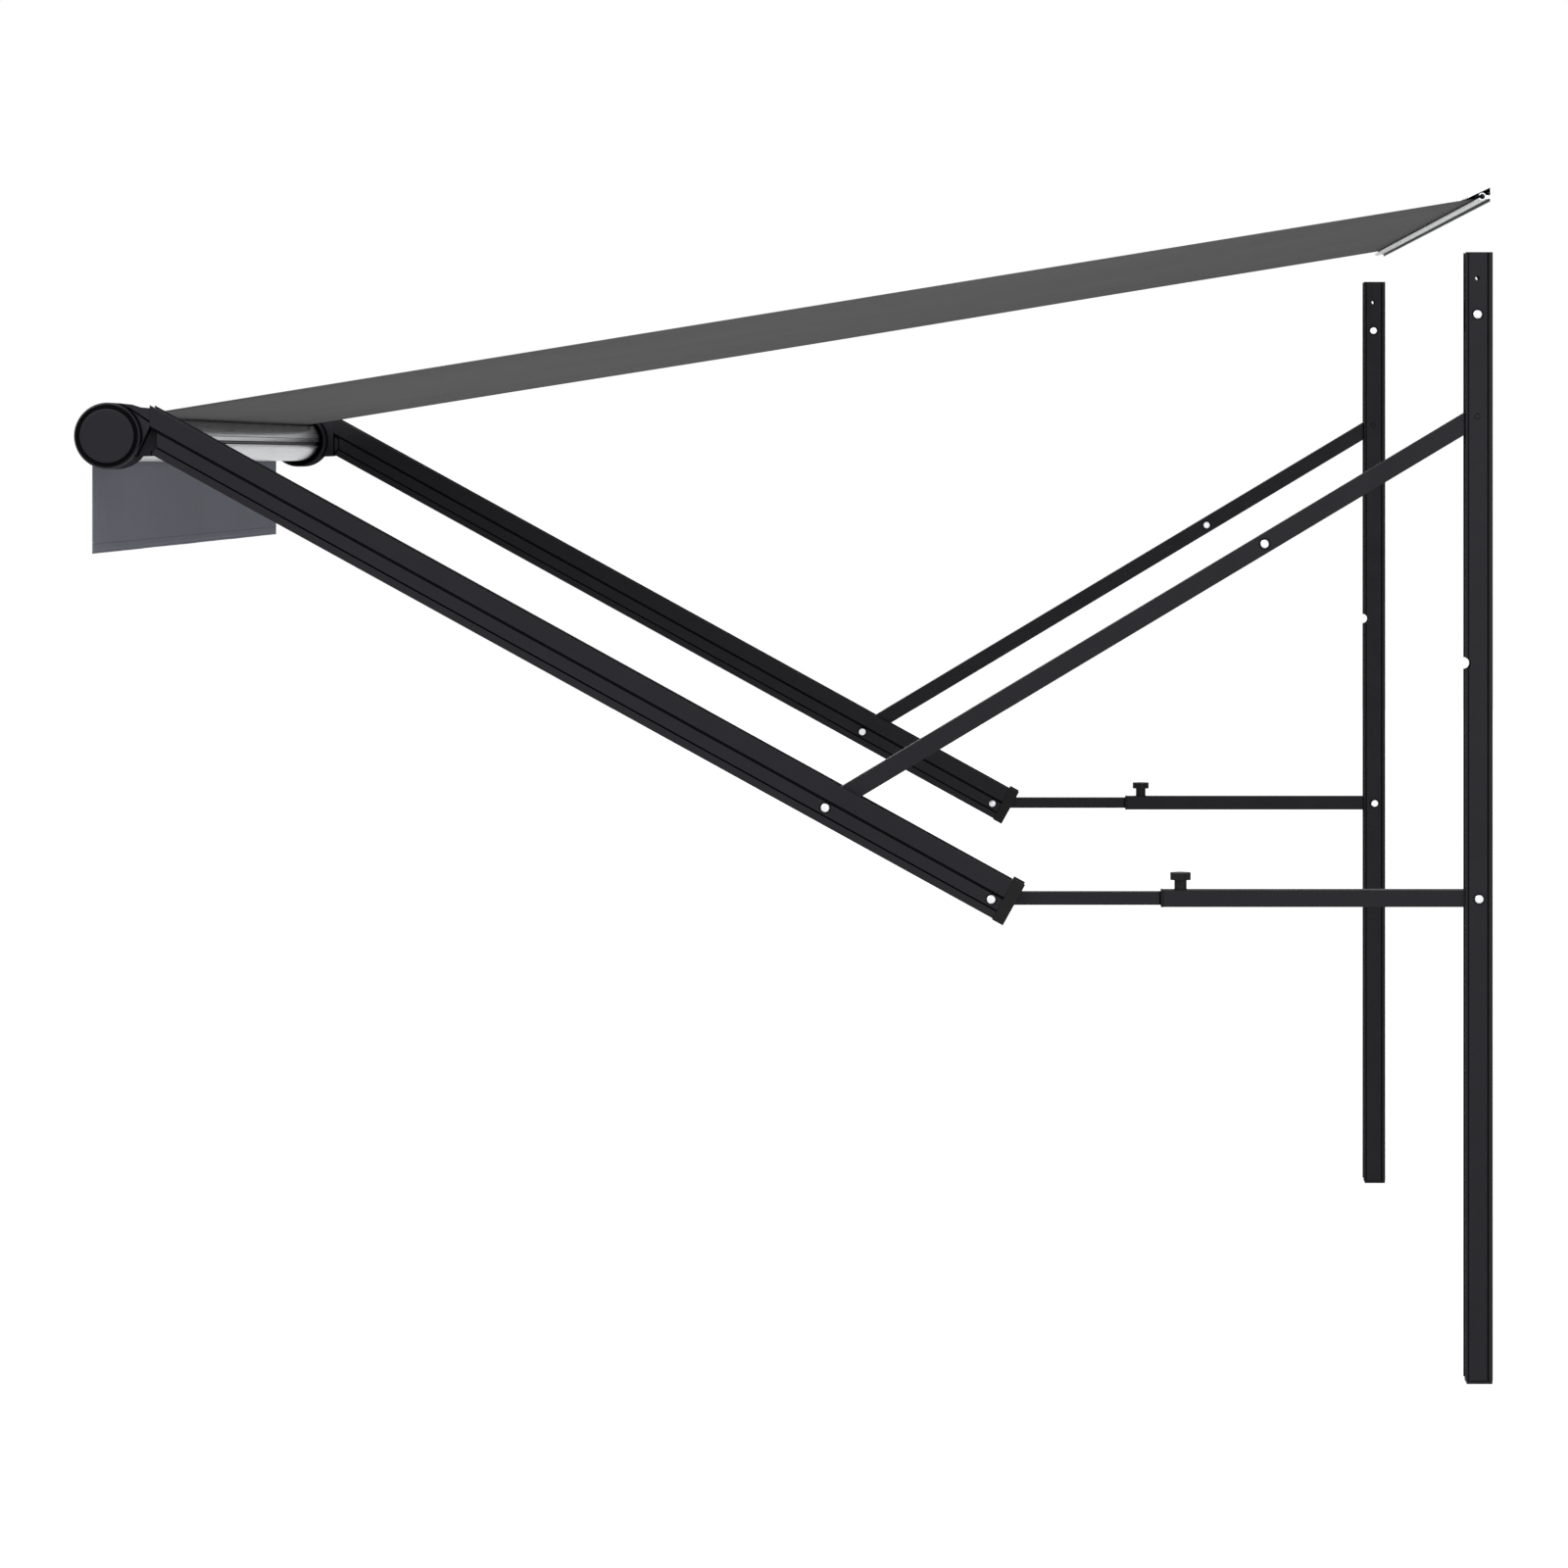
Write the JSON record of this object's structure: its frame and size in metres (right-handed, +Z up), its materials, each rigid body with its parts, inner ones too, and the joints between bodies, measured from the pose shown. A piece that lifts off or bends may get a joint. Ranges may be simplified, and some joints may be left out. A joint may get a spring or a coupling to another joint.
{
  "type": "canvas awning",
  "caption": "Wall-mounted patio awning with a taut cloth canopy, a front roller with a hanging valance, and a folding arm set at each side that folds up flat against the wall.",
  "frame": {"origin": "middle of the awning rail back face, on the wall plane", "axes": "+Z up, +X along the width to the right when facing the wall, +Y into the wall; the awning reaches out to -Y"},
  "size_m": [2.522, 2.5061, 2.1184],
  "materials": {
    "black_coat": "satin powder coat",
    "zinc": "zinc plated",
    "nylon": "moulded",
    "aluminium": "mill finish",
    "motor_case": "painted",
    "cloth": "coated woven cloth"
  },
  "bodies": {
    "wall_frame": {"awning_rail": "aluminium", "rail_keder": "nylon", "canopy": "cloth", "right_wall_channel": "black_coat", "right_top_bracket": "aluminium", "right_top_bolt": "zinc", "right_channel_foot": "black_coat", "right_upper_pivot_pin": "black_coat", "right_lower_pivot_bolt": "zinc", "left_wall_channel": "black_coat", "left_top_bracket": "aluminium", "left_top_bolt": "zinc", "left_channel_foot": "black_coat", "left_upper_pivot_pin": "black_coat", "left_lower_pivot_bolt": "zinc"},
    "right_support": {"right_support_arm": "black_coat", "right_stop_bolt": "zinc"},
    "right_main": {"right_main_arm": "black_coat", "right_elbow_bolt": "zinc", "right_elbow_spacer_out": "nylon", "right_elbow_spacer_in": "nylon", "right_pitch_bolt_out": "zinc", "right_pitch_bolt_in": "zinc", "right_arm_end_cap": "nylon", "right_head_housing": "black_coat", "right_head_cover": "black_coat", "tube_motor": "motor_case"},
    "right_tube": {"right_pitch_tube": "black_coat", "right_tube_collar": "nylon"},
    "right_rod": {"right_pitch_rod": "black_coat", "right_rod_plug": "nylon"},
    "right_knob": {"right_pitch_knob": "nylon"},
    "left_support": {"left_support_arm": "black_coat", "left_stop_bolt": "zinc"},
    "left_main": {"left_main_arm": "black_coat", "left_elbow_bolt": "zinc", "left_elbow_spacer_out": "nylon", "left_elbow_spacer_in": "nylon", "left_pitch_bolt_out": "zinc", "left_pitch_bolt_in": "zinc", "left_arm_end_cap": "nylon", "left_head_housing": "black_coat", "left_head_cover": "black_coat", "idler_pin": "zinc"},
    "left_tube": {"left_pitch_tube": "black_coat", "left_tube_collar": "nylon"},
    "left_rod": {"left_pitch_rod": "black_coat", "left_rod_plug": "nylon"},
    "left_knob": {"left_pitch_knob": "nylon"},
    "roller": {"roller_tube": "aluminium", "motor_crown": "nylon", "drive_wheel": "nylon", "idler_plug": "nylon", "canopy_keder": "nylon", "valance_keder": "nylon", "slot_filler": "nylon"},
    "valance_cloth": {"valance": "cloth"}
  },
  "joints": [
    {"name": "right_fold", "type": "hinge", "parent": "wall_frame", "child": "right_support", "pos_m": [1.22, -0.0277, -0.3953], "axis": [1, 0, 0], "range_deg": [0, 56.54], "deforming": ["canopy"]},
    {"name": "right_elbow", "type": "hinge", "parent": "right_support", "child": "right_main", "pos_m": [1.22, -1.1799, -1.0864], "axis": [1, 0, 0], "range_deg": [-117.76, 0.1]},
    {"name": "right_pitch_swing", "type": "hinge", "parent": "wall_frame", "child": "right_tube", "pos_m": [1.22, -0.0242, -1.2482], "axis": [1, 0, 0], "range_deg": [-0.1, 87.1]},
    {"name": "right_pitch_slide", "type": "slide", "parent": "right_tube", "child": "right_rod", "axis": [0, -1, 0], "range_m": [-0.1802, 0.0002]},
    {"name": "right_knob_turn", "type": "hinge", "parent": "right_tube", "child": "right_knob", "pos_m": [1.22, -0.5512, -1.2482], "axis": [0, 0, 1], "continuous": true},
    {"name": "left_fold", "type": "hinge", "parent": "wall_frame", "child": "left_support", "pos_m": [-1.22, -0.0277, -0.3953], "axis": [1, 0, 0], "range_deg": [-0.05, 56.59]},
    {"name": "left_elbow", "type": "hinge", "parent": "left_support", "child": "left_main", "pos_m": [-1.22, -1.1799, -1.0864], "axis": [1, 0, 0], "range_deg": [-117.76, 0.1]},
    {"name": "left_pitch_swing", "type": "hinge", "parent": "wall_frame", "child": "left_tube", "pos_m": [-1.22, -0.0242, -1.2482], "axis": [1, 0, 0], "range_deg": [-0.1, 87.1]},
    {"name": "left_pitch_slide", "type": "slide", "parent": "left_tube", "child": "left_rod", "axis": [0, -1, 0], "range_m": [-0.1802, 0.0002]},
    {"name": "left_knob_turn", "type": "hinge", "parent": "left_tube", "child": "left_knob", "pos_m": [-1.22, -0.5512, -1.2482], "axis": [0, 0, 1], "continuous": true},
    {"name": "roller_spin", "type": "hinge", "parent": "right_main", "child": "roller", "pos_m": [0, -2.4471, -0.4296], "axis": [1, 0, 0], "range_deg": [-1, 2942.12]},
    {"name": "valance_hang", "type": "hinge", "parent": "right_main", "child": "valance_cloth", "pos_m": [0, -2.4471, -0.4296], "axis": [1, 0, 0], "range_deg": [-0.1, 61.22]}
  ],
  "couplings": [
    {"joint": "right_elbow", "follows": "right_fold", "ratio": -2.081},
    {"joint": "right_pitch_swing", "follows": "right_fold", "ratio": 1.5387},
    {"joint": "right_pitch_slide", "follows": "right_fold", "m_per_rad": -0.18241},
    {"joint": "left_fold", "follows": "right_fold", "ratio": 1},
    {"joint": "left_elbow", "follows": "right_fold", "ratio": -2.081},
    {"joint": "left_pitch_swing", "follows": "right_fold", "ratio": 1.5387},
    {"joint": "left_pitch_slide", "follows": "right_fold", "m_per_rad": -0.18241},
    {"joint": "roller_spin", "follows": "right_fold", "ratio": 52.018},
    {"joint": "valance_hang", "follows": "right_fold", "ratio": 1.081}
  ]
}
